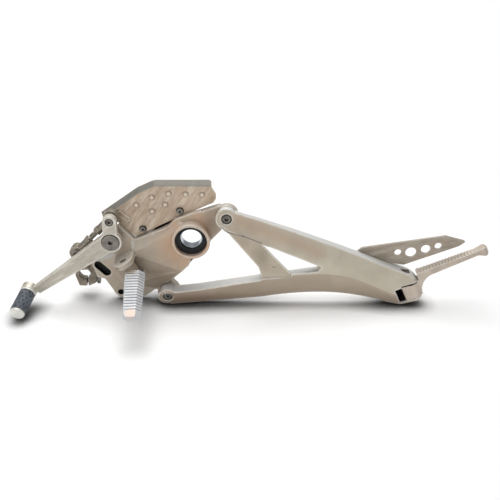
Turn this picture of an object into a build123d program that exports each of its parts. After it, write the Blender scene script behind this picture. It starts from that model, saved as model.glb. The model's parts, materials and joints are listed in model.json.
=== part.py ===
from build123d import *
import math
import os

# Motorcycle footrest bracket assembly, left side, in millimetres.
# X runs to the rear, Y inboard and Z up. The origin lies on the axis of the pivot bore, in the
# inboard mounting face. "Out" is a distance outboard of that face, along -Y. Points are (X, Z).

# Carrier plate
plate_back = 4.0            # inner face of the plate, out from the mounting face
plate_thickness = 10.0
facet_rise = 8.0            # how far the faceted ridge stands out from the plate
boss_length = 25.0
boss_radius = 25.0
bush_radius = 21.0
bush_recess = 6.8           # from the boss's front down to the bush
sleeve_recess = 5.0         # from the bush's front down to the sleeve
sleeve_radius = 14.9
bore_radius = 13.4
ear_radius = 15.0
guard_lug_radius = 9.0
pocket_length = 26.0
pocket_width = 11.0
pocket_slope = -47.0
pocket_floor = 2.0
web_hole_radius = 4.2
web_hole_depth = 7.0

# Hanger
eye_radius = 14.0
low_eye_radius = 12.5
hanger_thickness = 16.0     # from its back to the ridge, at ridge_height
hanger_blank = 28.0         # thickness that its faces are cut from
ridge_height = -50.0
lean_angle = 5.0            # upper face, leaning inboard at the top
tuck_angle = 17.0           # lower face, tucked inboard at the bottom
step_depth = 1.6            # the strut lies this far below the upper arm

# Heel guards
guard_sheet = 2.5
flange_length = 9.5
flange_angle = 48.0
knee_height = 2.0
bend_sweep = 14.0
flange_corner = 4.0
dimple_radius = 3.6
dimple_height = 1.3
emboss_height = 0.9
emboss_length = 20.0
emboss_width = 8.0
emboss_slope = -40.0
rear_guard_sheet = 3.0

# Bolts
bolt_radius = 4.0
head_radius = 6.5
head_length = 6.0
top_seat = 2.5              # from the hanger's back to the seat of its upper bolt
low_seat = 7.0
hex_radius = 3.4
nut_radius = 7.4
nut_height = 6.5
nut_flange = 1.5            # both its overhang and its thickness
bolt_tail = 2.0             # thread past the nut
button_radius = 5.25
button_height = 3.0
button_hex = 2.3
button_taper = 25.0
screw_radius = 3.0
screw_depth = 9.0

# Gear lever
lever_gap = 8.0             # from the plate's front to the thrust washer
washer_thickness = 1.5
lever_thickness = 8.5
lever_hub_radius = 14.5
lever_boss_radius = 10.5
disc_radius = 11.0
disc_thickness = 3.0
lever_bolt_radius = 6.0
lever_bush_wall = 1.5
disc_sink = 2.0
upright_width = 18.4
arm_root_width = 26.0
arm_end_width = 12.0
toe_eye_radius = 11.0
toe_rubber_radius = 10.4
toe_core_radius = 5.0
toe_cap_length = 4.0
toe_cap_round = 2.8
toe_flange = 2.0
toe_eye_stand = 1.0         # how far the eye stands out from the arm on each side
toe_screw_grip = 12.0

# Linkage
ball_radius = 6.0
rod_end_radius = 10.0
low_rod_end_radius = 9.2
rod_end_width = 8.0
link_gap = 4.0              # from the back of the lever to the rod end
link_bolt_radius = 3.0
link_head_radius = 5.0
link_head_length = 5.0
link_hex = 2.7
low_link_head = 2.2
link_head_sink = 0.8        # how far the upper link bolt's head lies below the lever
link_nut_radius = 5.6
link_nut_height = 2.6
rod_radius = 3.6
shank_wall = 1.3
upper_shank = 24.0          # from the upper ball to the end of its rod end
lower_shank = 22.0
thread_grip = 8.0           # length of rod held in each rod end
lock_nut_radius = 6.2
lock_nut_height = 5.0
shaft_radius = 8.0
spline_count = 20
spline_depth = 0.6
slit_width = 2.2
slit_shift = 2.7            # from the shaft's axis to the middle of the slit
clamp_width = 12.0
arm_lug_thickness = 5.0
arm_width = 15.0
arm_clearance = 1.5         # from the rod end to the arm
clamp_clearance = 1.0       # from the plane of the plate's back to the clamp
ball_step = 1.0             # how far each ball's neck stands clear of its rod end
pinch_x = -131.9
pinch_height = -73.0
pinch_length = 26.0
pinch_head = 4.0

# Rider's footrest
peg_tilt = 25.0             # pin leaning forward
peg_ear_radius = 13.5
peg_ear_thickness = 7.0
low_ear_radius = 12.5
fork_root_cover = 2.0       # how far the fork's root stops inside the plate
fork_web_gap = 3.0          # from the knuckle to the web that joins the ears
knuckle_depth = 16.0
spring_turns = 3
spring_wire = 1.8
spring_radius = 7.0
spring_pitch = 1.9
knuckle_radius = 12.0
pin_radius = 4.9
rib_pitch = 5.2
rib_gap = 2.2
rib_depth = 1.4
rib_count = 14
rib_start = 5.0
cap_length = 8.0
peg_width = 26.0
peg_depth = 12.5
peg_tip_scale = 0.82
neck_scale = 0.55

# Passenger's footrest
rear_tilt = 24.5
rear_ear_depth = 20.0
rear_knuckle_depth = 21.6
rear_knuckle_radius = 11.5
rear_slot_reach = 22.0      # from the pin to the bottom of the fork's slot
slot_wall = 4.2             # thickness of the part wall behind the slot
slot_wall_end = 13.8        # from the pin to that wall's free end
rear_lip = 3.7              # thickness of the fork's lower lip
rear_pin_sink = 2.5         # from the top of the upper ear down to its pin's counterbore
rear_back = 8.0             # inner face of the rear fork, out from the mounting face
rear_peg_reach = 110.0
rear_peg_width = 12.0
rear_peg_depth = 10.0
rear_tip_radius = 6.2
rear_rib_depth = 1.0
rear_tail = 13.0           # stop tail of the knuckle
rear_rib_pitch = 4.3
rear_rib_count = 18
pin_recess = 1.5
clip_thickness = 1.0
clip_width = 2.6

# Clearances
running_fit = 0.05
face_gap = 0.3
sheet_gap = 0.5
ball_gap = 0.12
drill_gap = 0.25

# Places, all (X, Z)
pivot = (0.0, 0.0)
top_bolt = (46.7, 32.0)
low_bolt = (-33.5, -80.5)
lever_pivot = (-102.5, 3.0)
link_point = (-101.8, 31.9)
low_link_point = (-151.0, -19.0)
shaft_point = (-147.6, -61.0)
toe_point = (-217.5, -70.0)
guard_screw_points = [(-63.2, 10.6), (-13.7, 36.8)]
rider_pin = (-88.6, -21.5)
rider_pin_out = 34.0
beam_start = (-72.2, -43.6, -30.7)
beam_tip = (-66.2, -130.0, -43.7)
rear_pin = (281.2, -42.5)
rear_guard_screws = [(236.5, -39.0), (252.0, -51.0)]
web_hole = (-98.2, -82.7)
pocket_point = (-120.0, -46.0)
emboss_point = (-87.0, 29.0)

# Worked out from the above
plate_front = plate_back + plate_thickness
ridge_front = plate_front + facet_rise
hanger_front = plate_front + hanger_thickness
rear_front = hanger_front + 2.0
rear_pin_out = rear_front - rear_knuckle_radius
guard_back = plate_back
guard_front = guard_back + guard_sheet
lever_boss_front = plate_front + lever_gap
lever_back = lever_boss_front + washer_thickness
lever_front = lever_back + lever_thickness
link_out = lever_back - link_gap - rod_end_width / 2
hanger_seats = [(top_bolt, plate_front + top_seat), (low_bolt, plate_front + low_seat)]
rear_slot_depth = rear_knuckle_depth + 2 * face_gap
rear_fork_foot = rear_ear_depth + rear_slot_depth + rear_lip
fork_cut = 3 * rear_ear_depth     # side of the blocks that cut the rear fork free
peg_slot_top = peg_ear_thickness + face_gap
spring_room = spring_turns * spring_pitch + spring_wire
peg_slot_bottom = peg_ear_thickness + knuckle_depth + spring_room + 3 * face_gap


def face(out):
    """Upright drawing plane at a distance outboard of the mounting face."""
    return Plane.XZ.offset(out)


def slab(points, low, high, corner=0.0, mode=Mode.ADD):
    """Plate between two distances, cut to a polygon with rounded corners."""
    with BuildSketch(face(low)) as cut:
        with BuildLine():
            Polyline(*points, close=True)
        make_face()
        if corner > 0:
            fillet(cut.vertices(), radius=corner)
    extrude(cut.sketch, amount=high - low, mode=mode)


def disc(centre, radius, low, high, mode=Mode.ADD):
    """Round boss or hole between two distances."""
    with BuildSketch(face(low)) as cut:
        with Locations(centre):
            Circle(radius)
    extrude(cut.sketch, amount=high - low, mode=mode)


def bar(start, end, start_width, end_width, low, high, mode=Mode.ADD):
    """Straight tapered arm between two points, square at both ends."""
    run = Vector(end[0] - start[0], end[1] - start[1])
    side = Vector(-run.Y, run.X).normalized()
    corners = [
        (start[0] + side.X * start_width / 2, start[1] + side.Y * start_width / 2),
        (end[0] + side.X * end_width / 2, end[1] + side.Y * end_width / 2),
        (end[0] - side.X * end_width / 2, end[1] - side.Y * end_width / 2),
        (start[0] - side.X * start_width / 2, start[1] - side.Y * start_width / 2),
    ]
    slab(corners, low, high, mode=mode)


def facet(first, second, third):
    """Plane through three (X, out, Z) points, facing outboard."""
    a, b, c = [Vector(x, -out, z) for x, out, z in (first, second, third)]
    normal = (b - a).cross(c - a).normalized()
    if normal.Y > 0:
        normal = normal * -1
    return Plane(origin=a, z_dir=normal)


def tilted(point, out, angle):
    """Plane across a fork pin that leans forward: its x runs to the rear, its y inboard."""
    across = (math.cos(math.radians(angle)), 0, math.sin(math.radians(angle)))
    along = (-math.sin(math.radians(angle)), 0, math.cos(math.radians(angle)))
    return Plane(origin=(point[0], -out, point[1]), x_dir=across, z_dir=along)


def between(first, second, share):
    """Point part of the way from one to another."""
    return tuple(a + (b - a) * share for a, b in zip(first, second))


rider_plane = tilted(rider_pin, rider_pin_out, peg_tilt)
rear_plane = tilted(rear_pin, rear_pin_out, rear_tilt)

# Carrier plate: one casting
plate_outline = [
    (-93.5, 18.5), (-73.6, -2.4), (-50.9, 5.0), (-29.6, 13.8), (-18.7, 25.4), (2.2, 34.0),
    (38.0, 47.0), (47.0, 32.0), (39.7, 12.0), (25.0, -4.0), (2.0, -31.5), (-28.1, -61.1),
    (-24.0, -70.0), (-33.5, -80.5), (-50.6, -77.7), (-66.0, -89.0), (-99.0, -92.0), (-105.5, -85.7),
    (-110.1, -76.1), (-118.2, -61.9), (-128.0, -58.8), (-133.5, -38.0), (-108.0, -20.0), (-112.5, 3.0),
]
lip_outline = [
    (-73.6, -2.4), (-51.8, 7.4), (-30.9, 16.0), (-20.2, 27.3), (1.4, 36.2), (14.0, 40.0), (14.0, 30.0),
    (-18.7, 20.0), (-29.6, 8.0), (-50.9, 0.0),
]
ridge_outline = [
    (-80.0, -8.0), (-73.6, -2.6), (-50.9, 4.8), (-29.6, 13.6), (-18.7, 25.2), (0.0, 22.0),
    (0.0, -24.0), (-4.0, -36.5), (-28.2, -60.8), (-42.0, -71.0), (-66.0, -88.0), (-88.0, -62.0), (-82.0, -20.0),
]
upper_facet = facet((-73.0, ridge_front, -14.0), (-40.0, ridge_front, 4.0), (-51.0, plate_front, 5.2))
lower_facet = facet((-73.0, ridge_front, -21.4), (-21.3, ridge_front, -42.2), (-50.0, plate_front, -77.0))
front_facet = facet((-73.5, ridge_front, -14.0), (-73.5, ridge_front, -21.4), (-82.0, plate_front, -17.0))
peg_fork_depth = peg_slot_bottom + peg_ear_thickness

with BuildPart() as carrier_plate:
    slab(ridge_outline, plate_back, ridge_front)
    split(bisect_by=upper_facet, keep=Keep.BOTTOM)
    split(bisect_by=lower_facet, keep=Keep.BOTTOM)
    split(bisect_by=front_facet, keep=Keep.BOTTOM)
    slab(plate_outline, plate_back, plate_front, corner=2.0)
    slab(lip_outline, guard_front + sheet_gap, plate_front)
    disc(top_bolt, ear_radius, plate_back, plate_front)
    disc(low_bolt, ear_radius, plate_back, plate_front)
    disc(lever_pivot, lever_boss_radius, plate_back, lever_boss_front)
    disc(pivot, boss_radius, 0, boss_length)
    # lugs that carry the heel guard from behind
    for screw, foot in zip(guard_screw_points, [(-60.0, -12.0), (-6.0, 14.0)]):
        disc(screw, guard_lug_radius, 0, guard_back)
        bar(screw, foot, 2 * guard_lug_radius, 2 * guard_lug_radius, 0, guard_back)
    # fork for the rider's footrest
    root = rider_pin_out - plate_back - fork_root_cover
    with BuildSketch(rider_plane):
        Circle(peg_ear_radius)
        with Locations((0, root / 2)):
            Rectangle(2 * peg_ear_radius, root)
    extrude(amount=-peg_ear_thickness)
    with BuildSketch(rider_plane.offset(-peg_slot_bottom)):
        Circle(low_ear_radius)
        with Locations((0, root / 2)):
            Rectangle(2 * low_ear_radius, root)
    extrude(amount=-peg_ear_thickness)
    web_start = knuckle_radius + fork_web_gap
    with BuildSketch(rider_plane):
        with Locations((0, (web_start + root) / 2)):
            Rectangle(2 * (low_ear_radius - 1), root - web_start)
    extrude(amount=-peg_fork_depth)
    # bores
    disc(pivot, bush_radius, 0, boss_length, Mode.SUBTRACT)
    disc(top_bolt, bolt_radius + drill_gap, 0, boss_length, Mode.SUBTRACT)
    disc(low_bolt, bolt_radius + drill_gap, 0, boss_length, Mode.SUBTRACT)
    disc(lever_pivot, lever_bolt_radius + running_fit, 0, boss_length, Mode.SUBTRACT)
    disc(web_hole, web_hole_radius, plate_front - web_hole_depth, plate_front, Mode.SUBTRACT)
    for screw in guard_screw_points:
        disc(screw, screw_radius + running_fit, 0, guard_back, Mode.SUBTRACT)
    with BuildSketch(rider_plane):
        Circle(pin_radius + running_fit)
    extrude(amount=-peg_fork_depth, mode=Mode.SUBTRACT)
    # pocket in the front web
    with BuildSketch(face(plate_back + pocket_floor)):
        with Locations(pocket_point):
            SlotOverall(pocket_length, pocket_width, rotation=pocket_slope)
    extrude(amount=plate_thickness, mode=Mode.SUBTRACT)
carrier_plate.part.label = "carrier_plate"

# Rubber bush and its steel sleeve
with BuildPart() as pivot_bush:
    disc(pivot, bush_radius, 0, boss_length - bush_recess)
    disc(pivot, sleeve_radius, 0, boss_length, Mode.SUBTRACT)
pivot_bush.part.label = "pivot_bush"

with BuildPart() as pivot_sleeve:
    disc(pivot, sleeve_radius, 0, boss_length - bush_recess - sleeve_recess)
    disc(pivot, bore_radius, 0, boss_length, Mode.SUBTRACT)
pivot_sleeve.part.label = "pivot_sleeve"

# Heel guard: a sheet with its upper edge bent inboard along a rounded bend line
bend_points = [(-112.5, 24.6), (-63.2, 59.8), (-43.6, 69.1), (28.0, 69.1)]
guard_rim = [
    (28.0, 69.1), (33.4, 59.6), (33.3, 53.2), (29.6, 47.8), (1.7, 35.2), (-20.0, 25.9), (-30.2, 14.9),
    (-50.9, 6.2), (-73.2, -1.2), (-95.6, 20.6), (-112.5, 24.6),
]
dimples = [
    (-69.5, 44.9), (-48.9, 55.6), (-27.3, 60.8), (-5.7, 59.9), (15.4, 59.1), (-32.2, 45.4), (-49.6, 35.9),
]
bend = math.radians(flange_angle)
outer_end = (
    guard_sheet - flange_length * math.sin(bend),
    -knee_height - flange_length * math.cos(bend),
)
inner_end = (outer_end[0] - guard_sheet * math.cos(bend), outer_end[1] + guard_sheet * math.sin(bend))
inner_knee = (0, -knee_height + guard_sheet * math.tan(bend / 2))
with BuildPart() as heel_guard:
    with BuildSketch(face(guard_back)):
        with BuildLine():
            FilletPolyline(*bend_points, radius=bend_sweep)
            Polyline(*guard_rim)
        make_face()
    extrude(amount=guard_sheet)
    with BuildLine(face(guard_back)) as bend_line:
        FilletPolyline(*bend_points, radius=bend_sweep)
    across = Plane(origin=bend_line.line @ 0, x_dir=(0, -1, 0), z_dir=bend_line.line % 0)
    with BuildSketch(across):
        with BuildLine():
            FilletPolyline((guard_sheet, 0), (guard_sheet, -knee_height), outer_end, radius=1 + guard_sheet)
            Line(outer_end, inner_end)
            FilletPolyline(inner_end, inner_knee, (0, 0), radius=1)
            Line((0, 0), (guard_sheet, 0))
        make_face()
    sweep(path=bend_line.line)
    ends = heel_guard.edges().filter_by(lambda edge: abs(edge.length - guard_sheet) < running_fit)
    fillet(ends.sort_by(Axis.Y)[-2:], radius=flange_corner)
    for screw in guard_screw_points:
        disc(screw, screw_radius + drill_gap, 0, guard_front, Mode.SUBTRACT)
    for spot in dimples:
        with BuildSketch(face(guard_front)):
            with Locations(spot):
                Circle(dimple_radius)
        extrude(amount=dimple_height, taper=35)
    with BuildSketch(face(guard_front)):
        with Locations(emboss_point):
            SlotOverall(emboss_length, emboss_width, rotation=emboss_slope)
            SlotOverall(emboss_length - 3, emboss_width - 3, rotation=emboss_slope, mode=Mode.SUBTRACT)
    extrude(amount=emboss_height)
heel_guard.part.label = "heel_guard"

# Passenger's hanger: one casting, faceted in front along a curved ridge
lean = math.tan(math.radians(lean_angle))
tuck = math.tan(math.radians(tuck_angle))


def lean_out(height):
    """How far out the leaning upper face lies at a height."""
    return hanger_front - (height - ridge_height) * lean


# X, ridge height and bottom height along the lower member
sections = [
    (-60.0, -75.5, -96.0), (-22.0, -71.7, -92.2), (10.0, -67.8, -89.0), (92.5, -54.0, -83.4),
    (133.0, -47.6, -79.4), (169.0, -45.0, -77.2), (195.0, -47.0, -77.4), (222.0, -54.5, -80.2),
    (255.0, -69.5, -86.3), (285.0, -80.5, -95.0), (320.0, -92.0, -102.0),
]
lean_plane = Plane(
    origin=(0, -hanger_front, ridge_height),
    x_dir=(1, 0, 0),
    z_dir=(0, -math.cos(math.radians(lean_angle)), math.sin(math.radians(lean_angle))),
)
fork_outline = [
    (287.4, -47.0), (295.8, -52.1), (300.0, -57.0), (306.5, -77.5), (303.0, -83.0),
    (279.0, -93.0), (262.0, -90.5),
]
# back of the strut is narrower than its face, on the side of the window
window = [(94.2, -3.0), (171.0, -35.5), (166.0, -42.0), (131.0, -45.0)]
window_back = [(90.8, -6.0), (171.0, -35.5), (166.0, -42.0), (127.6, -48.0)]
upper_edge = [(50.0, 43.2), (175.0, -1.2), (262.0, -37.3)]
lower_edge = [(250.8, -87.0), (172.0, -78.8), (92.8, -85.3)]
inner_edge = [
    (92.8, -85.3), (9.6, -90.8), (-30.0, -94.2), (-30.0, -70.0), (-22.0, -71.7), (10.0, -67.8), (91.6, -53.6),
    (91.0, -46.1), (87.8, -36.1), (49.7, 10.7), (42.1, 17.5), (40.0, 40.0), (50.0, 43.2),
]
strut_face = [
    (49.7, 15.5), (94.0, -3.4), (131.0, -45.0), (131.0, -50.0), (88.0, -52.0), (87.0, -36.0), (38.0, 24.0),
]
with BuildPart() as passenger_hanger:
    with BuildSketch(face(plate_front)) as hanger_side:
        with BuildLine():
            ThreePointArc(*upper_edge)
            Polyline(upper_edge[-1], *fork_outline, lower_edge[0])
            ThreePointArc(*lower_edge)
            Polyline(*inner_edge)
        make_face()
        with Locations(top_bolt):
            Circle(eye_radius)
        with Locations(low_bolt):
            Circle(low_eye_radius)
    extrude(amount=hanger_blank)
    slab(window, plate_front, plate_front + hanger_blank, corner=2.0, mode=Mode.SUBTRACT)
    with BuildSketch(face(plate_front)):
        Polygon(*window_back, align=None)
    with BuildSketch(face(hanger_front - step_depth)):
        Polygon(*window, align=None)
    loft(ruled=True, mode=Mode.SUBTRACT)
    split(bisect_by=lean_plane, keep=Keep.BOTTOM)
    # the lower face, cut away below the ridge
    for x, ridge, bottom in sections:
        reach = ridge - bottom + eye_radius
        with BuildSketch(Plane.YZ.offset(x)):
            Polygon(
                (-lean_out(ridge), ridge), (-lean_out(ridge) - hanger_blank, ridge),
                (-lean_out(ridge) - hanger_blank, ridge - reach),
                (-lean_out(ridge) + reach * tuck, ridge - reach), align=None,
            )
    loft(mode=Mode.SUBTRACT)
    # the strut lies below the upper arm
    with BuildSketch(lean_plane.offset(-step_depth)):
        with BuildLine():
            Polyline(*[(x, z - ridge_height) for x, z in strut_face], close=True)
        make_face()
    extrude(amount=hanger_blank, mode=Mode.SUBTRACT)
    # rear fork: a deep upper ear, a slot with a part wall at its back, and a thin lower lip
    slab([upper_edge[-1], *fork_outline], rear_back, plate_front)
    with BuildSketch(rear_plane.offset(-rear_ear_depth)):
        with Locations((fork_cut / 2 - rear_slot_reach, 0)):
            Rectangle(fork_cut, fork_cut)
    extrude(amount=-rear_slot_depth, mode=Mode.SUBTRACT)
    wall_start = rear_slot_reach + slot_wall
    wall_inboard = rear_pin_out - rear_back - slot_wall / 2
    with BuildSketch(rear_plane.offset(-rear_ear_depth)):
        with Locations((-(wall_start + slot_wall_end) / 2, wall_inboard)):
            Rectangle(wall_start - slot_wall_end, slot_wall)
    extrude(amount=-rear_slot_depth)
    with BuildSketch(rear_plane.offset(rear_ear_depth)):
        with Locations((fork_cut / 2, 0)):
            Rectangle(fork_cut, fork_cut)
        Circle(rear_knuckle_radius + face_gap, mode=Mode.SUBTRACT)
    extrude(amount=-2 * fork_cut, mode=Mode.SUBTRACT)
    with BuildSketch(rear_plane.offset(rear_ear_depth)):
        Circle(pin_radius + running_fit)
    extrude(amount=-2 * fork_cut, mode=Mode.SUBTRACT)
    with BuildSketch(rear_plane.offset(-rear_fork_foot)):
        Rectangle(fork_cut, fork_cut)
    extrude(amount=-rear_ear_depth, mode=Mode.SUBTRACT)
    # bolt holes and their counterbores
    for spot, seat in hanger_seats:
        disc(spot, bolt_radius + drill_gap, 0, seat, Mode.SUBTRACT)
        disc(spot, head_radius + sheet_gap, seat, seat + hanger_blank, Mode.SUBTRACT)
    for spot in rear_guard_screws:
        disc(spot, screw_radius + running_fit, 0, plate_front + screw_depth, Mode.SUBTRACT)
passenger_hanger.part.label = "passenger_hanger"


def socket(plane, radius, depth):
    """Hexagon socket cut into the part under construction, down from a plane."""
    with BuildSketch(plane) as cut:
        RegularPolygon(radius, 6)
    extrude(cut.sketch, amount=-depth, mode=Mode.SUBTRACT)


def at(point, out):
    """Upright plane centred on a point."""
    return Plane(origin=(point[0], -out, point[1]), x_dir=(1, 0, 0), z_dir=(0, -1, 0))


# Bolts and nuts of the hanger
with BuildPart() as hanger_bolts:
    for spot, seat in hanger_seats:
        disc(spot, bolt_radius, plate_back - nut_height - bolt_tail, seat)
        disc(spot, head_radius, seat, seat + head_length)
        socket(at(spot, seat + head_length), hex_radius, head_length / 2)
hanger_bolts.part.label = "hanger_bolts"

with BuildPart() as hanger_nuts:
    for spot, seat in hanger_seats:
        with BuildSketch(at(spot, plate_back - nut_height)):
            RegularPolygon(nut_radius, 6)
        extrude(amount=nut_height)
        disc(spot, nut_radius + nut_flange, plate_back - nut_flange, plate_back)
        disc(spot, bolt_radius + running_fit, plate_back - nut_height, plate_back, Mode.SUBTRACT)
hanger_nuts.part.label = "hanger_nuts"

# Button-head screws of both heel guards
with BuildPart() as heel_guard_screws:
    for spot in guard_screw_points:
        disc(spot, screw_radius, 0, guard_front)
        with BuildSketch(at(spot, guard_front)):
            Circle(button_radius)
        extrude(amount=button_height, taper=button_taper)
        socket(at(spot, guard_front + button_height), button_hex, button_height * 0.7)
heel_guard_screws.part.label = "heel_guard_screws"

rear_guard_outline = [
    (216.5, -20.5), (224.0, -13.9), (332.0, 3.5), (360.0, -4.6), (351.0, -11.9), (281.0, -40.0),
    (261.0, -36.5), (260.0, -58.0), (250.0, -62.0), (228.0, -46.0), (228.0, -24.5),
]
rear_guard_holes = [(271.8, -21.2, 4.6), (288.8, -21.0, 7.2), (308.0, -16.3, 6.2), (323.8, -11.6, 4.6)]
with BuildPart() as passenger_heel_guard:
    slab(rear_guard_outline, plate_front - rear_guard_sheet, plate_front, corner=1.5)
    for x, z, radius in rear_guard_holes:
        disc((x, z), radius, 0, plate_front, Mode.SUBTRACT)
    for spot in rear_guard_screws:
        disc(spot, screw_radius + drill_gap, 0, plate_front, Mode.SUBTRACT)
passenger_heel_guard.part.label = "passenger_heel_guard"

with BuildPart() as passenger_guard_screws:
    for spot in rear_guard_screws:
        back = plate_front - rear_guard_sheet
        disc(spot, screw_radius, back, plate_front + screw_depth - 1)
        with BuildSketch(Plane(origin=(spot[0], -back, spot[1]), x_dir=(1, 0, 0), z_dir=(0, 1, 0))):
            Circle(button_radius)
        extrude(amount=button_height, taper=button_taper)
passenger_guard_screws.part.label = "passenger_guard_screws"

# Gear lever: bell crank with an upright, a long tapered arm and an inclined eye for the toe peg
toe_tip = (-225.5, -70.0, -82.0)
toe_start = Vector(toe_point[0], -(lever_back + lever_thickness / 2), toe_point[1])
toe_axis = (Vector(*toe_tip) - toe_start).normalized()
toe_length = (Vector(*toe_tip) - toe_start).length
toe_plane = Plane(origin=toe_start, x_dir=(1, 0, 0), z_dir=toe_axis)
arm_end = (-207.0, -69.3)
bush_bore = lever_bolt_radius + running_fit
toe_half = lever_thickness / 2 + toe_eye_stand
with BuildPart() as gear_lever:
    disc(lever_pivot, lever_hub_radius, lever_back, lever_front)
    bar(lever_pivot, link_point, upright_width, upright_width, lever_back, lever_front)
    disc(link_point, upright_width / 2, lever_back, lever_front)
    bar((lever_pivot[0], lever_pivot[1] + 1), arm_end, arm_root_width, arm_end_width, lever_back, lever_front)
    with BuildSketch(toe_plane.offset(-toe_half)):
        Circle(toe_eye_radius)
    extrude(amount=2 * toe_half)
    disc(lever_pivot, bush_bore + lever_bush_wall, lever_back, lever_front, Mode.SUBTRACT)
    disc(lever_pivot, disc_radius + sheet_gap, lever_front - disc_sink, lever_front, Mode.SUBTRACT)
    disc(link_point, link_bolt_radius + running_fit, lever_back, lever_front, Mode.SUBTRACT)
    disc(link_point, link_head_radius + drill_gap, lever_front - link_head_length, lever_front, Mode.SUBTRACT)
    with BuildSketch(toe_plane.offset(-toe_half)):
        Circle(screw_radius + running_fit)
    extrude(amount=2 * toe_half, mode=Mode.SUBTRACT)
gear_lever.part.label = "gear_lever"

with BuildPart() as lever_bush:
    disc(lever_pivot, bush_bore + lever_bush_wall, lever_back, lever_front - disc_sink)
    disc(lever_pivot, bush_bore, lever_back, lever_front, Mode.SUBTRACT)
lever_bush.part.label = "lever_bush"

with BuildPart() as lever_pivot_bolt:
    disc(lever_pivot, lever_bolt_radius, plate_back, lever_front - disc_sink)
    disc(lever_pivot, disc_radius, lever_front - disc_sink, lever_front - disc_sink + disc_thickness)
    socket(at(lever_pivot, lever_front - disc_sink + disc_thickness), hex_radius, disc_thickness + 2)
lever_pivot_bolt.part.label = "lever_pivot_bolt"

with BuildPart() as lever_pivot_washer:
    disc(lever_pivot, lever_boss_radius, lever_boss_front, lever_back)
    disc(lever_pivot, lever_bolt_radius + drill_gap, lever_boss_front, lever_back, Mode.SUBTRACT)
lever_pivot_washer.part.label = "lever_pivot_washer"

# Toe peg: flanged core with a rounded cap, a rubber sleeve on it and a screw from behind
sleeve_start = toe_half + toe_flange
sleeve_end = toe_length - toe_cap_length
with BuildPart() as toe_peg:
    with BuildSketch(toe_plane.offset(toe_half)):
        Circle(toe_rubber_radius)
    extrude(amount=toe_flange)
    with BuildSketch(toe_plane.offset(toe_half)):
        Circle(toe_core_radius)
    extrude(amount=toe_length - toe_half - 1)
    with BuildSketch(toe_plane.offset(sleeve_end)):
        Circle(toe_rubber_radius - 0.7)
    extrude(amount=toe_cap_length)
    rims = toe_peg.edges().filter_by(GeomType.CIRCLE)
    fillet(rims.sort_by_distance(toe_plane.offset(2 * toe_length).origin)[0], toe_cap_round)
    with BuildSketch(toe_plane.offset(toe_half)):
        Circle(screw_radius + running_fit)
    extrude(amount=toe_screw_grip + 2, mode=Mode.SUBTRACT)
toe_peg.part.label = "toe_peg"

with BuildPart() as toe_rubber:
    with BuildSketch(toe_plane.offset(sleeve_start)):
        Circle(toe_rubber_radius)
    extrude(amount=sleeve_end - sleeve_start)
    fillet(toe_rubber.edges().filter_by(GeomType.CIRCLE), 1.0)
    with BuildSketch(toe_plane.offset(sleeve_start)):
        Circle(toe_core_radius + running_fit)
    extrude(amount=sleeve_end - sleeve_start, mode=Mode.SUBTRACT)
toe_rubber.part.label = "toe_rubber"

with BuildPart() as toe_peg_screw:
    with BuildSketch(toe_plane.offset(-toe_half)):
        Circle(screw_radius)
    extrude(amount=2 * toe_half + toe_screw_grip)
    with BuildSketch(toe_plane.offset(-toe_half)):
        Circle(button_radius)
    extrude(amount=-button_height)
    with BuildSketch(toe_plane.offset(-toe_half - button_height)):
        RegularPolygon(button_hex, 6)
    extrude(amount=button_height * 0.7, mode=Mode.SUBTRACT)
toe_peg_screw.part.label = "toe_peg_screw"

# Upper ball joint
link_tail = link_out - rod_end_width / 2 - ball_step
ball_neck = ball_radius * 0.7
with BuildPart() as upper_ball:
    disc(link_point, ball_neck, link_tail, lever_back)
    with Locations((link_point[0], -link_out, link_point[1])):
        Sphere(ball_radius)
    disc(link_point, 2 * ball_radius, link_tail, lever_back, Mode.INTERSECT)
    disc(link_point, link_bolt_radius + running_fit, 0, lever_back, Mode.SUBTRACT)
upper_ball.part.label = "upper_ball"

with BuildPart() as upper_link_bolt:
    disc(link_point, link_bolt_radius, link_tail - link_nut_height, lever_front - link_head_length)
    disc(link_point, link_head_radius, lever_front - link_head_length, lever_front - link_head_sink)
    socket(at(link_point, lever_front - link_head_sink), link_hex, link_head_length * 0.6)
upper_link_bolt.part.label = "upper_link_bolt"


def link_nut(point, front):
    """Thin hexagon nut on a link bolt, its front face at a distance."""
    with BuildSketch(at(point, front - link_nut_height)) as across:
        RegularPolygon(link_nut_radius, 6)
        Circle(link_bolt_radius + running_fit, mode=Mode.SUBTRACT)
    extrude(across.sketch, amount=link_nut_height)


with BuildPart() as upper_link_nut:
    link_nut(link_point, link_tail)
upper_link_nut.part.label = "upper_link_nut"

# Link rod between two ball joints
rod_run = Vector(low_link_point[0] - link_point[0], 0, low_link_point[1] - link_point[1])
rod_plane = Plane(origin=(link_point[0], -link_out, link_point[1]), x_dir=(0, 1, 0), z_dir=rod_run.normalized())


def rod_piece(radius, start, end, mode=Mode.ADD):
    """Round length on the rod's own axis, measured from the upper ball."""
    with BuildSketch(rod_plane.offset(start)) as cut:
        Circle(radius)
    extrude(cut.sketch, amount=end - start, mode=mode)


def rod_nut(start, end):
    """Hexagon on the rod's own axis."""
    with BuildSketch(rod_plane.offset(start)) as cut:
        RegularPolygon(lock_nut_radius, 6)
    extrude(cut.sketch, amount=end - start)


reach = rod_run.length
upper_end = upper_shank
lower_end = reach - lower_shank
with BuildPart() as upper_rod_end:
    disc(link_point, rod_end_radius, link_out - rod_end_width / 2, link_out + rod_end_width / 2)
    rod_piece(rod_radius + shank_wall, rod_end_radius - 1, upper_end)
    with Locations((link_point[0], -link_out, link_point[1])):
        Sphere(ball_radius + ball_gap, mode=Mode.SUBTRACT)
    rod_piece(rod_radius + running_fit, upper_end - thread_grip, upper_end, Mode.SUBTRACT)
upper_rod_end.part.label = "upper_rod_end"

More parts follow.
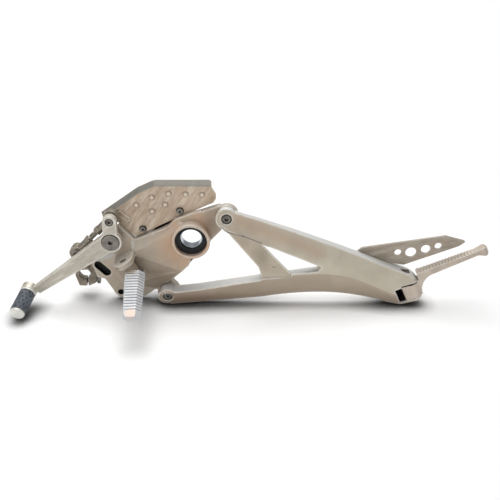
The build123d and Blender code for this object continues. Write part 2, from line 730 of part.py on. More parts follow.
with BuildPart() as lower_rod_end:
    disc(low_link_point, low_rod_end_radius, link_out - rod_end_width / 2, link_out + rod_end_width / 2)
    rod_piece(rod_radius + shank_wall, lower_end, reach - low_rod_end_radius + 1)
    with Locations((low_link_point[0], -link_out, low_link_point[1])):
        Sphere(ball_radius + ball_gap, mode=Mode.SUBTRACT)
    rod_piece(rod_radius + running_fit, lower_end, lower_end + thread_grip, Mode.SUBTRACT)
lower_rod_end.part.label = "lower_rod_end"

with BuildPart() as link_rod:
    rod_piece(rod_radius, upper_end - thread_grip + 1, lower_end + thread_grip - 1)
link_rod.part.label = "link_rod"

with BuildPart() as rod_lock_nuts:
    rod_nut(upper_end, upper_end + lock_nut_height)
    rod_nut(lower_end - lock_nut_height, lower_end)
    rod_piece(rod_radius + running_fit, upper_end, lower_end, Mode.SUBTRACT)
rod_lock_nuts.part.label = "rod_lock_nuts"

# Shaft arm with a splined clamp
arm_front = link_out - rod_end_width / 2 - arm_clearance
clamp_front = plate_back - clamp_clearance
clamp_back = clamp_front - clamp_width
clamp_outline = [
    (-160.5, -62.6), (-156.3, -79.0), (-143.3, -79.4), (-132.3, -74.0), (-132.5, -49.0), (-141.0, -45.0),
    (-156.0, -47.0),
]
with BuildPart() as shaft_arm:
    disc(low_link_point, low_rod_end_radius - 0.7, arm_front - arm_lug_thickness, arm_front)
    elbow = between(low_link_point, shaft_point, 0.45)
    bar(low_link_point, elbow, arm_width, arm_width, arm_front - arm_lug_thickness, arm_front)
    bar(between(low_link_point, shaft_point, 0.25), between(low_link_point, shaft_point, 0.75), arm_width,
        arm_width + 3, clamp_front - 4, arm_front)
    slab(clamp_outline, clamp_back, clamp_front, corner=2.5)
    disc(low_link_point, link_bolt_radius + running_fit, 0, arm_front, Mode.SUBTRACT)
    disc(shaft_point, shaft_radius, clamp_back, arm_front, Mode.SUBTRACT)
    with BuildSketch(face(clamp_back)) as splines:
        with Locations(shaft_point):
            with PolarLocations(shaft_radius, spline_count):
                Circle(spline_depth, mode=Mode.ADD)
    extrude(splines.sketch, amount=clamp_width, mode=Mode.SUBTRACT)
    slit_middle = (shaft_point[0] + slit_shift, shaft_point[1])
    slit_foot = (slit_middle[0], slit_middle[1] - 3 * shaft_radius)
    bar(slit_middle, slit_foot, slit_width, slit_width, clamp_back, clamp_front, Mode.SUBTRACT)
    with BuildSketch(Plane.YZ.offset(pinch_x)):
        with Locations((-(clamp_back + clamp_front) / 2, pinch_height)):
            Circle(screw_radius + running_fit)
    extrude(amount=2 * pinch_length, both=True, mode=Mode.SUBTRACT)
shaft_arm.part.label = "shaft_arm"

with BuildPart() as pinch_bolt:
    with BuildSketch(Plane.YZ.offset(pinch_x)):
        with Locations((-(clamp_back + clamp_front) / 2, pinch_height)):
            Circle(screw_radius)
    extrude(amount=-pinch_length)
    with BuildSketch(Plane.YZ.offset(pinch_x)):
        with Locations((-(clamp_back + clamp_front) / 2, pinch_height)):
            Circle(button_radius)
            RegularPolygon(button_hex, 6, mode=Mode.SUBTRACT)
    extrude(amount=pinch_head)
pinch_bolt.part.label = "pinch_bolt"

low_head = link_out + rod_end_width / 2 + ball_step
with BuildPart() as lower_ball:
    disc(low_link_point, ball_neck, arm_front, low_head)
    with Locations((low_link_point[0], -link_out, low_link_point[1])):
        Sphere(ball_radius)
    disc(low_link_point, 2 * ball_radius, arm_front, low_head, Mode.INTERSECT)
    disc(low_link_point, link_bolt_radius + running_fit, 0, lever_back, Mode.SUBTRACT)
lower_ball.part.label = "lower_ball"

with BuildPart() as lower_link_bolt:
    disc(low_link_point, link_bolt_radius, arm_front - arm_lug_thickness - link_nut_height, low_head)
    disc(low_link_point, link_head_radius, low_head, low_head + low_link_head)
    socket(at(low_link_point, low_head + low_link_head), link_hex, low_link_head)
lower_link_bolt.part.label = "lower_link_bolt"

with BuildPart() as lower_link_nut:
    link_nut(low_link_point, arm_front - arm_lug_thickness)
lower_link_nut.part.label = "lower_link_nut"

# Rider's footrest: a ribbed beam on a knuckle, with a torsion spring below the knuckle
beam_run = Vector(*beam_tip) - Vector(*beam_start)
beam_plane = Plane(origin=Vector(*beam_start), x_dir=(1, 0, 0), z_dir=beam_run.normalized())
beam_length = beam_run.length
cap_start = beam_length - cap_length
half = peg_width / 2
section = [
    (-half, -2.0), (-half + 1.6, 0.0), (half - 7.5, 0.0), (half, -5.5), (half, -9.0), (half - 5.0, -peg_depth),
    (-half + 4.5, -peg_depth), (-half, -8.0),
]


def peg_scale(distance):
    """Share of the root section left at a distance along the beam."""
    return 1 - (1 - peg_tip_scale) * distance / beam_length


def peg_outline(points, scale, tall=1.0):
    """Points of the beam's section, scaled about its centre."""
    middle = -peg_depth / 2
    return [(x * scale, middle + (y - middle) * scale * tall) for x, y in points]


knuckle_middle = rider_plane.origin - rider_plane.z_dir * (peg_slot_top + knuckle_depth / 2 - peg_depth / 2)
neck_plane = Plane(origin=knuckle_middle, x_dir=rider_plane.x_dir, z_dir=(0, -1, 0))
with BuildPart() as rider_peg:
    with BuildSketch(beam_plane):
        Polygon(*section, align=None)
    with BuildSketch(beam_plane.offset(cap_start)):
        Polygon(*peg_outline(section, peg_scale(cap_start)), align=None)
    loft(ruled=True)
    # rounded end cap
    for step in (0.0, 0.4, 0.7, 0.88, 1.0):
        shrink = 0.5 + 0.5 * math.sqrt(1 - step * step)
        with BuildSketch(beam_plane.offset(cap_start + step * cap_length)):
            Polygon(*peg_outline(section, peg_scale(cap_start) * shrink), align=None)
    loft(ruled=True)
    for rib in range(rib_count):
        distance = rib_start + rib * rib_pitch
        floor = [
            (-half - 2, -rib_depth), (half - 8.0, -rib_depth), (half - rib_depth, -6.3),
            (half - rib_depth, -10.0), (half + 6, -10.0), (half + 6, 6.0), (-half - 2, 6.0),
        ]
        with BuildSketch(beam_plane.offset(distance)):
            Polygon(*peg_outline(floor, peg_scale(distance)), align=None)
        extrude(amount=rib_gap, mode=Mode.SUBTRACT)
    with BuildSketch(neck_plane):
        Polygon(*peg_outline(section, neck_scale, 1.5), align=None)
    with BuildSketch(beam_plane.offset(1.0)):
        Polygon(*peg_outline(section, neck_scale + 0.15), align=None)
    loft(ruled=True)
    with BuildSketch(rider_plane.offset(-peg_slot_top)):
        Circle(knuckle_radius)
    extrude(amount=-knuckle_depth)
    # room for the spring
    with BuildSketch(rider_plane.offset(-peg_slot_top - knuckle_depth)):
        Circle(spring_radius + spring_wire)
    extrude(amount=-peg_fork_depth, mode=Mode.SUBTRACT)
    with BuildSketch(rider_plane.offset(rider_pin_out)):
        Circle(pin_radius + 2 * running_fit)
    extrude(amount=-3 * rider_pin_out, mode=Mode.SUBTRACT)
rider_peg.part.label = "rider_peg"

spring_foot = rider_plane.offset(spring_wire / 2 - peg_slot_bottom + running_fit)
with BuildPart() as rider_peg_spring:
    with BuildLine() as coil:
        Helix(
            pitch=spring_pitch, height=spring_turns * spring_pitch, radius=spring_radius,
            center=spring_foot.origin, direction=spring_foot.z_dir,
        )
    with BuildSketch(Plane(origin=coil.line @ 0, z_dir=coil.line % 0)):
        Circle(spring_wire / 2)
    sweep(path=coil.line, is_frenet=True)
rider_peg_spring.part.label = "rider_peg_spring"


def fork_pin(plane, depth):
    """Plain pin, from just below the top of a fork to a little below its foot."""
    with BuildSketch(plane.offset(-pin_recess)) as end:
        Circle(pin_radius)
    extrude(end.sketch, amount=-(depth - pin_recess + 2 * clip_thickness))


def fork_clip(plane, depth):
    """Open retaining ring round a pin's lower end."""
    with BuildSketch(plane.offset(-depth)) as ring:
        Circle(pin_radius + clip_width)
        Circle(pin_radius + running_fit, mode=Mode.SUBTRACT)
        with Locations((0, pin_radius + clip_width)):
            Rectangle(pin_radius, 2 * clip_width + 2, mode=Mode.SUBTRACT)
    extrude(ring.sketch, amount=-clip_thickness)


with BuildPart() as rider_peg_pin:
    fork_pin(rider_plane, peg_fork_depth)
rider_peg_pin.part.label = "rider_peg_pin"

with BuildPart() as rider_peg_clip:
    fork_clip(rider_plane, peg_fork_depth)
rider_peg_clip.part.label = "rider_peg_clip"

# Passenger's footrest, folded back: its side profile cut to its plan
side_plane = Plane(origin=rear_plane.origin, x_dir=rear_plane.x_dir, z_dir=(0, -1, 0))
knuckle_top = -rear_ear_depth - face_gap
knuckle_foot = knuckle_top - rear_knuckle_depth
neck = rear_knuckle_radius + 3 * face_gap
beam_top = -rear_ear_depth / 2 + 0.5
beam_foot = beam_top - rear_peg_depth
tip = rear_peg_reach - rear_tip_radius
tip_height = beam_top - rear_tip_radius
with BuildPart() as passenger_peg:
    with BuildSketch(side_plane):
        with BuildLine():
            Polyline(
                (tip, beam_top), (tip - 9, beam_top - 1.2), (neck + 2, beam_top), (neck, beam_top - 1.5),
                (neck, knuckle_top), (-rear_tail, knuckle_top), (-rear_tail, knuckle_foot), (neck - 1.5, knuckle_foot),
            )
            ThreePointArc((neck - 1.5, knuckle_foot), (neck + 5, beam_foot - 6), (neck + 19, beam_foot))
            Polyline((neck + 19, beam_foot), (tip - 9, beam_foot + 2.0), (tip, beam_top - 2 * rear_tip_radius))
            ThreePointArc((tip, beam_top - 2 * rear_tip_radius), (rear_peg_reach, tip_height), (tip, beam_top))
        make_face()
    extrude(amount=2 * rear_knuckle_radius, both=True)
    with BuildSketch(rear_plane):
        Circle(rear_knuckle_radius)
        with Locations((-rear_tail / 2, -1.5)):
            RectangleRounded(rear_tail, 2 * rear_knuckle_radius - 4, 2.0)
        with BuildLine():
            Polyline(
                (0, rear_peg_width / 2 + 2), (neck + 12, rear_peg_width / 2), (tip, rear_peg_width / 2 - 1),
                (tip, 1 - rear_peg_width / 2), (neck + 12, -rear_peg_width / 2), (0, -rear_peg_width / 2 - 2),
                close=True,
            )
        make_face()
        with Locations((tip - 1, 0)):
            Circle(rear_peg_width / 2)
    extrude(amount=-2 * rear_peg_reach, both=True, mode=Mode.INTERSECT)
    with BuildSketch(side_plane):
        for rib in range(rear_rib_count):
            with Locations((neck + 6 + rib * rear_rib_pitch, beam_top - rib / rear_rib_count)):
                Rectangle(rib_gap, 2 * rear_rib_depth)
    extrude(amount=2 * rear_knuckle_radius, both=True, mode=Mode.SUBTRACT)
    with BuildSketch(rear_plane):
        Circle(pin_radius + 2 * running_fit)
    extrude(amount=-3 * rear_ear_depth, mode=Mode.SUBTRACT)
passenger_peg.part.label = "passenger_peg"

rear_pin_top = rear_plane.offset(-rear_pin_sink)
rear_fork_depth = rear_fork_foot - rear_pin_sink
with BuildPart() as passenger_peg_pin:
    fork_pin(rear_pin_top, rear_fork_depth)
passenger_peg_pin.part.label = "passenger_peg_pin"

with BuildPart() as passenger_peg_clip:
    fork_clip(rear_pin_top, rear_fork_depth)
passenger_peg_clip.part.label = "passenger_peg_clip"

solids = [
    carrier_plate, pivot_bush, pivot_sleeve, heel_guard, passenger_hanger, hanger_bolts, hanger_nuts,
    heel_guard_screws, passenger_heel_guard, passenger_guard_screws, gear_lever, lever_bush, lever_pivot_bolt,
    lever_pivot_washer, toe_peg, toe_rubber, toe_peg_screw, upper_ball, upper_link_bolt, upper_rod_end,
    lower_rod_end, link_rod, rod_lock_nuts, shaft_arm, pinch_bolt, lower_ball, lower_link_bolt, upper_link_nut,
    lower_link_nut, rider_peg, rider_peg_spring, rider_peg_pin, rider_peg_clip, passenger_peg,
    passenger_peg_pin, passenger_peg_clip,
]
os.makedirs("parts", exist_ok=True)
for built in solids:
    export_step(built.part, f"parts/{built.part.label}.step")
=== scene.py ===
import json
import math

import bmesh
import bpy
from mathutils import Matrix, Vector


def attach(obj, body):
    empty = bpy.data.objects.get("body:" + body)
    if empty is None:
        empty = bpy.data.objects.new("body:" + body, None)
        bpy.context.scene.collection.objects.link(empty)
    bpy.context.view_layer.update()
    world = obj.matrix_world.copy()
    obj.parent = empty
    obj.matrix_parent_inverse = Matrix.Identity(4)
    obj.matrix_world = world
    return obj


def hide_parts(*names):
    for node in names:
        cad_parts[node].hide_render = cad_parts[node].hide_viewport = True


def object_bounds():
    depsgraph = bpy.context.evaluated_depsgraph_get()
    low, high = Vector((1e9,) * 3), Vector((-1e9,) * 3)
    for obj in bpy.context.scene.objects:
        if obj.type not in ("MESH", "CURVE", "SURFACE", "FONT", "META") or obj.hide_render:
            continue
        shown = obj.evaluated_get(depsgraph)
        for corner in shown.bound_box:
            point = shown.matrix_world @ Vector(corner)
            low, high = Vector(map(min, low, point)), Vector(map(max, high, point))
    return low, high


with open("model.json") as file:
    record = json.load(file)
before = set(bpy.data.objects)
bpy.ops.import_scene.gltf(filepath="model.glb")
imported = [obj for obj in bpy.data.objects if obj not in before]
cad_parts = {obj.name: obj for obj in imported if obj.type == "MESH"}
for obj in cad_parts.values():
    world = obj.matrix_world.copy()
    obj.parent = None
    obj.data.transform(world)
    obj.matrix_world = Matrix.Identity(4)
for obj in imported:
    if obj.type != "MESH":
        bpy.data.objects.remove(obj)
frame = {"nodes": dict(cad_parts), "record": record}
cad_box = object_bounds()
MM = 0.001


def tint(red, green, blue):
    """Colour of a swatch given in 0 to 255, as the shader wants it."""
    shares = [value / 255 for value in (red, green, blue)]
    return [s / 12.92 if s <= 0.04045 else ((s + 0.055) / 1.055) ** 2.4 for s in shares] + [1.0]


# Places on the bracket, in metres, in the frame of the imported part
PIVOT = (0.0, -0.0125, 0.0)
RIDER_KNUCKLE = (-0.0830, -0.0350, -0.0360)
RIDER_TIP = (-0.0680, -0.1230, -0.0440)
TOE_START = Vector((-0.2175, -0.02775, -0.070))
TOE_TIP = Vector((-0.2255, -0.070, -0.082))
ROD_TOP = Vector((-0.1018, -0.0155, 0.0319))
ROD_FOOT = Vector((-0.1510, -0.0155, -0.0190))

# Pressed forms of the rider's heel guard: dimples as (x, z) in mm, the oblong's line in metres
GUARD_FRONT = -0.0065
DIMPLES = [
    (-69.5, 44.9), (-48.9, 55.6), (-27.3, 60.8), (-5.7, 59.9), (15.4, 59.1), (-32.2, 45.4), (-49.6, 35.9),
]
# reaches of the painted shade round each dimple's foot and of the painted highlight on its crown
DIMPLE_FOOT, DIMPLE_CROWN = (0.0041, 0.0050), (0.0022, 0.0034)
OBLONG = ((-0.0916, 0.0329), (-0.0824, 0.0251))

# Hollows of the castings, painted near black as their shade: place, reach, and the depths of the front face and
# the back face
PLATE_FRONT, PLATE_BACK = -0.014, -0.004
PLATE_HOLLOWS = [
    ((-0.120, -0.008, -0.046), 0.0155, PLATE_FRONT, PLATE_BACK),
    ((-0.0982, -0.009, -0.0827), 0.0075, PLATE_FRONT, PLATE_BACK),
]
HANGER_HOLLOWS = [((0.2765, -0.018, -0.0725), 0.019, -0.029, -0.008)]

# Small cast-in marks on the strut: place, half-lengths in mm, turn in degrees
STRUT_MARKS = [
    ((0.1090, -0.0278, -0.0360), (3.6, 2.0, 0.45), 8),
    ((0.1065, -0.0278, -0.0352), (1.1, 2.0, 0.8), -30),
]

# Screw heads with an outer ring painted dark as the shade round them in their counterbores: x, z, radius
SCREW_HEADS = [
    (0.0467, 0.0320, 0.0065), (-0.0335, -0.0805, 0.0065), (-0.0137, 0.0368, 0.0048), (-0.0632, 0.0106, 0.0048),
    (-0.1018, 0.0319, 0.0050),
]

# Lines that show on the outer face: start and end as (x, z), inner and outer half-width, swatch, share
PLATE_FACE, HANGER_FACE = -0.0085, -0.018
# swatch of the painted shade in the strut's step
STEP_SHADE = tint(66, 56, 47)
# painted shade along the step where the strut meets the upper arm
STRUT_STEP = [
    ((0.0469, 0.0138), (0.0676, 0.0090), 0.0006, 0.0013, STEP_SHADE, 0.6),
    ((0.0676, 0.0090), (0.0922, -0.0014), 0.0006, 0.0013, STEP_SHADE, 0.6),
]
# painted shade in the gap between the hanger's upper ear and the passenger peg
FORK_GAP = [((0.2785, -0.0643), (0.2973, -0.0584), 0.0007, 0.0013, tint(24, 21, 19), 0.95)]
UPPER_ARM_WARMTH = [((0.062, 0.0310), (0.167, -0.0144), 0.001, 0.013, tint(180, 150, 124), 0.42)]
# painted highlight: a pale bluish reflection on an upward facet of the plate between the lever and the pocket
PAINTED_FACET_HIGHLIGHT = [((-0.1200, -0.0308), (-0.1045, -0.0245), 0.0004, 0.0046, tint(204, 210, 216), 0.55)]

# Soft darker or brighter areas: place, half-lengths in mm, swatch, share
PLATE_SHADES = [
    ((0.0270, -0.012, 0.0220), (18, 16, 30), tint(112, 100, 87), 0.6),
    # painted shade on the plate's lower facet, which looks down
    ((-0.0440, -0.016, -0.0520), (32, 14, 18), tint(112, 93, 77), 0.55),
    # painted highlight on the ridge beside the rider's fork
    ((-0.0767, -0.0152, -0.0099), (3, 6, 11), tint(214, 212, 207), 0.8),
]
HANGER_SHADES = [
    ((0.0920, -0.0265, -0.0200), (16, 6, 30), tint(150, 141, 125), 0.6),
    ((0.0, -0.0260, -0.0850), (85, 9, 16), tint(134, 110, 91), 0.6),
]

# Swatches that several finishes share
# painted light on faces that look up
PAINTED_TOP_LIGHT = tint(222, 226, 228)
# near black painted as the shade deep in hollows
PAINTED_HOLLOW_SHADE = tint(12, 12, 14)
STRUT_MARK = tint(48, 42, 38)
# painted shade in corners and grooves, for castings, sheet and steel
CASTING_CORNER_SHADE = tint(62, 54, 46)
SHEET_CORNER_SHADE = tint(74, 64, 54)
STEEL_CORNER_SHADE = tint(14, 13, 13)
# wear and painted highlight on steel edges
STEEL_RUB_AND_HIGHLIGHT = tint(206, 201, 192)
# painted shade in the rubber's dimples and corners
RUBBER_CORNER_SHADE = tint(18, 19, 22)
WARM_TIP = tint(220, 190, 170)


class Finish:
    """A material under construction: its nodes are added one by one."""

    def __init__(self, name, roughness, metallic, specular=0.5):
        self.material = bpy.data.materials.new(name)
        self.material.use_nodes = True
        self.tree = self.material.node_tree
        self.shader = self.tree.nodes["Principled BSDF"]
        self.shader.inputs["Roughness"].default_value = roughness
        self.shader.inputs["Metallic"].default_value = metallic
        self.shader.inputs["Specular IOR Level"].default_value = specular
        self.place = self.node("ShaderNodeTexCoord").outputs["Object"]
        split = self.node("ShaderNodeSeparateXYZ")
        self.link(self.place, split.inputs[0])
        self.depth = split.outputs["Y"]
        flat = self.node("ShaderNodeVectorMath", operation="MULTIPLY")
        flat.inputs[1].default_value = (1, 0, 1)
        self.link(self.place, flat.inputs[0])
        self.from_side = flat.outputs["Vector"]

    def node(self, kind, **settings):
        made = self.tree.nodes.new(kind)
        for key, value in settings.items():
            setattr(made, key, value)
        return made

    def link(self, source, target):
        self.tree.links.new(source, target)

    def mapped(self, scale, turn, place=(0, 0, 0)):
        """Object coordinates, moved to a place, turned in degrees and multiplied along the turned axes."""
        mapping = self.node("ShaderNodeMapping", vector_type="TEXTURE")
        mapping.inputs["Location"].default_value = place
        mapping.inputs["Rotation"].default_value = [math.radians(a) for a in turn]
        mapping.inputs["Scale"].default_value = [1 / s for s in scale]
        self.link(self.place, mapping.inputs["Vector"])
        return mapping.outputs["Vector"]

    def noise(self, scale, detail, rough, vector=None, distortion=0.0):
        made = self.node("ShaderNodeTexNoise")
        made.inputs["Scale"].default_value = scale
        made.inputs["Detail"].default_value = detail
        made.inputs["Roughness"].default_value = rough
        made.inputs["Distortion"].default_value = distortion
        self.link(vector or self.place, made.inputs["Vector"])
        return made.outputs["Fac"]

    def ramp(self, source, low, high, start=0.0, end=1.0):
        """A share read through a straight ramp between two limits."""
        made = self.node("ShaderNodeMapRange")
        made.inputs["From Min"].default_value = low
        made.inputs["From Max"].default_value = high
        made.inputs["To Min"].default_value = start
        made.inputs["To Max"].default_value = end
        self.link(source, made.inputs["Value"])
        return made.outputs["Result"]

    def math(self, operation, first, second):
        made = self.node("ShaderNodeMath", operation=operation)
        for socket, value in zip(made.inputs, (first, second)):
            if isinstance(value, (int, float)):
                socket.default_value = value
            else:
                self.link(value, socket)
        return made.outputs["Value"]

    def mix(self, share, first, second):
        """Colour between two, each a swatch or a socket."""
        made = self.node("ShaderNodeMix", data_type="RGBA")
        self.link(share, made.inputs[0])
        for socket, value in zip((made.inputs[6], made.inputs[7]), (first, second)):
            if isinstance(value, bpy.types.NodeSocket):
                self.link(value, socket)
            else:
                socket.default_value = value
        return made.outputs[2]

    def over(self, colour, share, strength, swatch):
        """Colour with a swatch laid over it, by a share times a strength."""
        return self.mix(self.math("MULTIPLY", share, strength), colour, swatch)

    def rims(self, reach):
        """Share that is 1 on outer edges, and 0 on open faces and in corners."""
        shade = self.node("ShaderNodeAmbientOcclusion", samples=8, inside=True, only_local=True)
        shade.inputs["Distance"].default_value = reach
        return self.ramp(shade.outputs["AO"], 0.92, 0.62)

    def crevice(self, reach):
        """Share that is 1 deep in corners and 0 on open faces."""
        shade = self.node("ShaderNodeAmbientOcclusion", samples=8)
        shade.inputs["Distance"].default_value = reach
        return self.ramp(shade.outputs["AO"], 0.75, 0.25)

    def near(self, place, inner, outer, vector=None):
        """Share that is 1 within an inner distance of a place and 0 past an outer one."""
        gap = self.node("ShaderNodeVectorMath", operation="DISTANCE")
        self.link(vector or self.place, gap.inputs[0])
        gap.inputs[1].default_value = place
        return self.ramp(gap.outputs["Value"], outer, inner)

    def ring(self, x, z, inner, outer):
        """Share that is 1 between two radii round an axis that runs from front to back."""
        whole, hole = [self.near((x, 0, z), r * 0.95, r, self.from_side) for r in (outer, inner)]
        return self.math("SUBTRACT", whole, hole)

    def any_of(self, shares):
        """Largest of several shares."""
        largest = shares[0]
        for share in shares[1:]:
            largest = self.math("MAXIMUM", largest, share)
        return largest

    def sunk(self, place, reach, front, back):
        """Share that is 1 round a place, where the surface lies between a front face and a back face."""
        below = self.ramp(self.depth, front + 0.6 * MM, front + 2.2 * MM)
        inside = self.math("MULTIPLY", below, self.ramp(self.depth, back - 0.6 * MM, back - 1.0 * MM))
        return self.math("MULTIPLY", self.near(place, reach, reach + 0.6 * MM), inside)

    def along(self, start, end, inner, outer):
        """Share that is 1 within an inner distance of a line from (x, z) to (x, z), and 0 past an outer one."""
        run = (end[0] - start[0], 0, end[1] - start[1])
        length = sum(part * part for part in run)
        off = self.node("ShaderNodeVectorMath", operation="SUBTRACT")
        self.link(self.from_side, off.inputs[0])
        off.inputs[1].default_value = (start[0], 0, start[1])
        dot = self.node("ShaderNodeVectorMath", operation="DOT_PRODUCT")
        self.link(off.outputs["Vector"], dot.inputs[0])
        dot.inputs[1].default_value = [part / length for part in run]
        held = self.node("ShaderNodeClamp")
        self.link(dot.outputs["Value"], held.inputs["Value"])
        foot = self.node("ShaderNodeVectorMath", operation="SCALE")
        foot.inputs[0].default_value = run
        self.link(held.outputs["Result"], foot.inputs["Scale"])
        gap = self.node("ShaderNodeVectorMath", operation="DISTANCE")
        self.link(off.outputs["Vector"], gap.inputs[0])
        self.link(foot.outputs["Vector"], gap.inputs[1])
        return self.ramp(gap.outputs["Value"], outer, inner)

    def band(self, line, inner, outer):
        """Share that is 1 in a band that follows a line at a distance: each limit is (full, faded)."""
        return self.math("SUBTRACT", self.along(*line, *outer), self.along(*line, *inner))

    def stroked(self, colour, strokes, front):
        """Lines laid on the surface that lies in front of a depth: painted shade in steps and gaps, painted
        highlight, and warm tone.
        """
        outer_face = self.ramp(self.depth, front + 1.0 * MM, front)
        for start, end, inner, outer, swatch, share in strokes:
            line = self.math("MULTIPLY", self.along(start, end, inner, outer), outer_face)
            colour = self.over(colour, line, share, swatch)
        return colour

    def blot(self, place, size, turn, core):
        """Share that is 1 inside a soft-edged oval of half-lengths in mm, turned in degrees about Y."""
        reach = self.node("ShaderNodeVectorMath", operation="LENGTH")
        self.link(self.mapped([1 / (MM * half) for half in size], (0, turn, 0), place), reach.inputs[0])
        return self.ramp(reach.outputs["Value"], 1.0, core)

    def upward(self, low, high, surface="True Normal"):
        """Share that is 1 on faces that look up, or down where the limits run below 0."""
        split = self.node("ShaderNodeSeparateXYZ")
        self.link(self.node("ShaderNodeNewGeometry").outputs[surface], split.inputs[0])
        return self.ramp(split.outputs["Z"], low, high)

    def bump(self, heights, rounding=0.0):
        """Stacks bumps, each (height, strength, distance), on edges rounded by a radius."""
        normal = None
        if rounding:
            soft = self.node("ShaderNodeBevel", samples=6)
            soft.inputs["Radius"].default_value = rounding
            normal = soft.outputs["Normal"]
        for height, strength, distance in heights:
            made = self.node("ShaderNodeBump")
            made.inputs["Strength"].default_value = strength
            made.inputs["Distance"].default_value = distance
            self.link(height, made.inputs["Height"])
            if normal:
                self.link(normal, made.inputs["Normal"])
            normal = made.outputs["Normal"]
        self.link(normal, self.shader.inputs["Normal"])

    def done(self, colour, roughness):
        self.link(colour, self.shader.inputs["Base Color"])
        self.link(roughness, self.shader.inputs["Roughness"])
        return self.material


def blasted_casting(name, face, dark, wear_and_highlight, stain, stain_place, stain_reach, under, painted_top_share, shades, marks,
                    strokes, front, hollows):
    """Sand-cast and blasted alloy: clouded and fine-grained, paler on its edges from wear and painted highlight,
    with painted shade in its corners, on faces that look down and in its hollows, and painted light on faces
    that look up.
    """
    made = Finish(name, 0.5, 0.28)
    cloud = made.ramp(made.noise(20, 5, 0.62), 0.36, 0.66)
    spots = made.ramp(made.noise(150, 3, 0.6), 0.55, 0.75)
    fine = made.noise(1500, 2, 0.6)
    colour = made.over(face, cloud, 0.6, dark)
    near = made.near(stain_place, *stain_reach)
    patch = made.math("MULTIPLY", near, made.ramp(made.noise(14, 4, 0.6, distortion=0.8), 0.32, 0.62))
    colour = made.over(colour, patch, 0.85, stain)
    colour = made.over(colour, spots, 0.3, dark)
    colour = made.mix(made.ramp(fine, 0.35, 0.7, 0.0, 0.14), colour, wear_and_highlight)
    # painted shade on faces that look down
    colour = made.over(colour, made.upward(-0.09, -0.26), 0.7, under)
    # soft darker and brighter areas from the lists of shades, some of them painted shade and painted highlight
    for place, size, swatch, share in shades:
        colour = made.over(colour, made.blot(place, size, 0, 0.2), share, swatch)
    # painted light on faces that look up
    colour = made.over(colour, made.upward(0.55, 0.85), painted_top_share, PAINTED_TOP_LIGHT)
    # painted shade in corners
    colour = made.over(colour, made.crevice(6 * MM), 0.5, CASTING_CORNER_SHADE)
    for place, size, turn in marks:
        colour = made.over(colour, made.blot(place, size, turn, 0.6), 0.85, STRUT_MARK)
    # edges paler from wear and painted highlight, broken up by noise
    edge_wear_and_highlight = made.ramp(made.noise(60, 4, 0.7), 0.3, 0.6, 0.35, 0.85)
    colour = made.over(colour, made.rims(2.8 * MM), edge_wear_and_highlight, wear_and_highlight)
    # lines on the outer face: painted shade in steps and gaps, a painted highlight, and a warm tone
    colour = made.stroked(colour, strokes, front)
    # hollows painted near black as their shade
    for place, reach, face_depth, back_depth in hollows:
        colour = made.mix(made.sunk(place, reach, face_depth, back_depth), colour, PAINTED_HOLLOW_SHADE)
    made.bump([(made.noise(420, 3, 0.6), 0.12, 0.6 * MM), (fine, 0.30, 0.25 * MM)], 1.2 * MM)
    return made.done(colour, made.ramp(cloud, 0, 1, 0.42, 0.56))


def sheet_alloy(name, face, dark, wear_and_highlight, turn, mottle=0.5, flange_shade=None, pressed=False, rim=1.4):
    """Satin alloy with drag marks in one direction, painted shade round what stands up from it, and edges paler
    from wear and painted highlight.
    """
    made = Finish(name, 0.42, 0.35)
    dragged = (0, turn, 0)
    cloud = made.ramp(made.noise(26, 5, 0.6), 0.34, 0.66)
    drag = made.noise(1.0, 4, 0.6, made.mapped((60, 60, 700), dragged))
    rubbed = made.ramp(made.noise(1.0, 4, 0.65, made.mapped((24, 24, 150), dragged)), 0.46, 0.66)
    grimy = made.ramp(made.noise(1.0, 4, 0.65, made.mapped((40, 40, 170), dragged, (3, 1, 2))), 0.48, 0.68)
    fine = made.noise(1500, 2, 0.6)
    colour = made.over(face, cloud, 0.6, dark)
    colour = made.over(colour, rubbed, mottle, wear_and_highlight)
    colour = made.over(colour, grimy, mottle, dark)
    colour = made.mix(made.ramp(drag, 0.4, 0.7, 0.0, 0.3), colour, wear_and_highlight)
    # painted shade: faces that look up, the guard's flange, take a darker grey
    if flange_shade:
        colour = made.over(colour, made.upward(0.15, 0.6, "Normal"), 0.9, flange_shade)
    # painted shade in corners
    colour = made.over(colour, made.crevice(3 * MM), 0.6, SHEET_CORNER_SHADE)
    # edges paler from wear and painted highlight
    colour = made.over(colour, made.rims(rim * MM), 0.8, wear_and_highlight)
    if pressed:
        spots = [(x * MM, GUARD_FRONT, z * MM) for x, z in DIMPLES]
        foot, crown = [
            made.any_of([made.near(spot, *limits) for spot in spots]) for limits in (DIMPLE_FOOT, DIMPLE_CROWN)]
        # painted shade round each dimple's foot, painted highlight on its crown
        colour = made.over(colour, foot, 0.6, dark)
        colour = made.over(colour, crown, 0.75, wear_and_highlight)
        groove = made.band(OBLONG, (0.0036, 0.0040), (0.0042, 0.0052))
        ridge = made.band(OBLONG, (0.0024, 0.0028), (0.0037, 0.0040))
        # painted shade in the oblong's groove, painted highlight on its ridge
        colour = made.over(colour, groove, 0.75, dark)
        colour = made.over(colour, ridge, 0.6, wear_and_highlight)
    made.bump([(drag, 0.14, 0.3 * MM), (fine, 0.15, 0.2 * MM)])
    return made.done(colour, made.ramp(drag, 0.3, 0.7, 0.34, 0.52))


